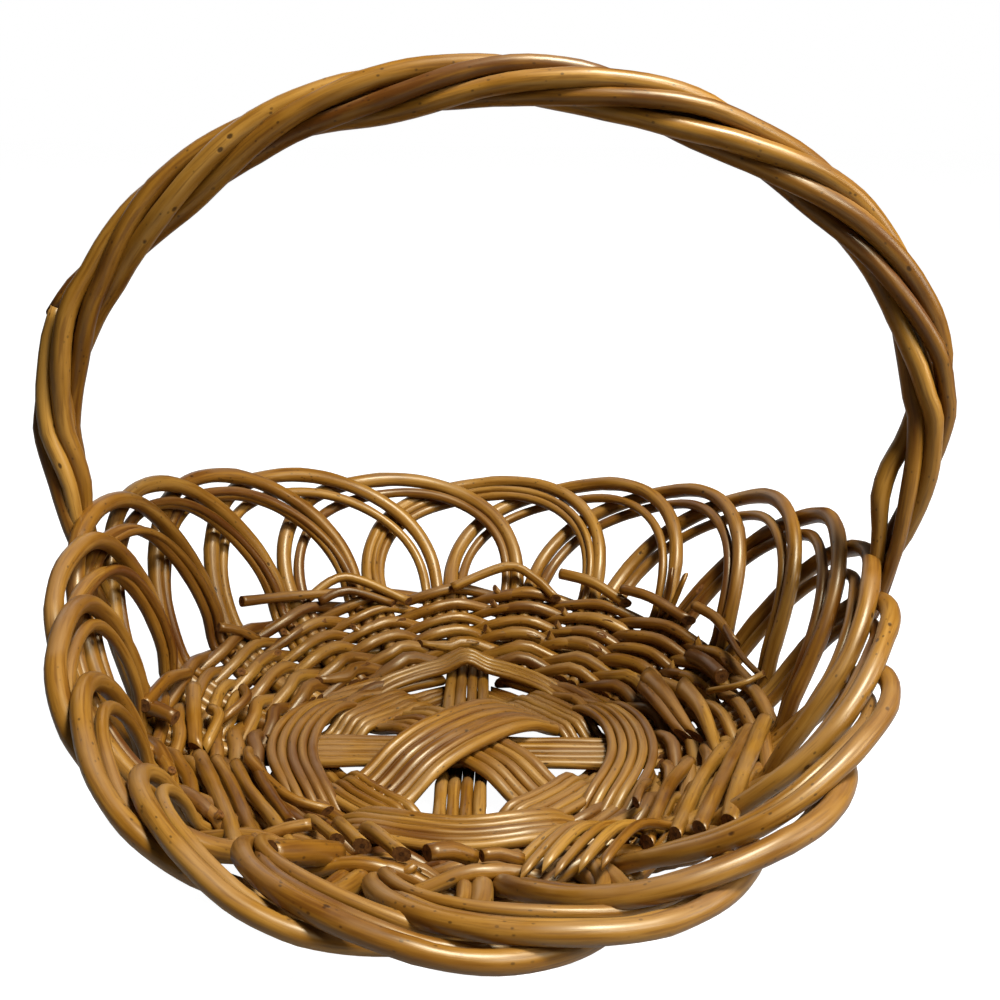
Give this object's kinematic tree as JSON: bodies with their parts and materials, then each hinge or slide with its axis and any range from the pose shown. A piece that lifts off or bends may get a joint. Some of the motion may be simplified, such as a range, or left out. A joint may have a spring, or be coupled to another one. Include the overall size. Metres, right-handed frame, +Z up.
{
  "type": "gathering basket",
  "caption": "Shallow round willow basket with a flared open border of overlapping loops, a twined wall, a woven base and a tall fixed twisted bow handle.",
  "frame": {"origin": "on the ground under the middle of the whole basket's bounding box", "axes": "+Z up, X along the handle's span, +Y towards the back border, away from the camera; the longest size runs along Y"},
  "size_m": [0.391, 0.4318, 0.3232],
  "materials": {
    "base_willow": "satin",
    "weaver_willow": "satin",
    "border_willow": "satin",
    "handle_willow": "satin"
  },
  "bodies": {
    "root": {"base_edge_ribbon_1": "base_willow", "base_edge_ribbon_2": "base_willow", "base_edge_ribbon_3": "base_willow", "base_edge_ribbon_4": "base_willow", "base_corner_ribbon_1": "base_willow", "base_corner_ribbon_2": "base_willow", "base_corner_ribbon_3": "base_willow", "base_corner_ribbon_4": "base_willow", "base_ribbon_front_back": "base_willow", "base_ribbon_left_right": "base_willow", "base_ribbon_diagonal_low": "base_willow", "base_ribbon_diagonal_high": "base_willow", "border_loop_01": "border_willow", "border_loop_02": "border_willow", "border_loop_03": "border_willow", "border_loop_04": "border_willow", "border_loop_05": "border_willow", "border_loop_06": "border_willow", "border_loop_07": "border_willow", "border_loop_08": "border_willow", "border_loop_09": "border_willow", "border_loop_10": "border_willow", "border_loop_11": "border_willow", "border_loop_12": "border_willow", "border_loop_13": "border_willow", "border_loop_14": "border_willow", "border_loop_15": "border_willow", "border_loop_16": "border_willow", "border_loop_17": "border_willow", "border_loop_18": "border_willow", "border_loop_19": "border_willow", "border_loop_20": "border_willow", "weaver_row_1_a": "weaver_willow", "weaver_row_1_b": "weaver_willow", "weaver_row_2_a": "weaver_willow", "weaver_row_2_b": "weaver_willow", "weaver_row_3_a": "weaver_willow", "weaver_row_3_b": "weaver_willow", "weaver_row_4_a": "weaver_willow", "weaver_row_4_b": "weaver_willow", "weaver_row_5_a": "weaver_willow", "weaver_row_5_b": "weaver_willow", "weaver_row_6_a": "weaver_willow", "weaver_row_6_b": "weaver_willow", "handle_bow": "handle_willow", "handle_strand_1": "handle_willow", "handle_strand_2": "handle_willow", "handle_strand_3": "handle_willow", "handle_strand_4": "handle_willow", "handle_strand_5": "handle_willow"}
  },
  "joints": []
}
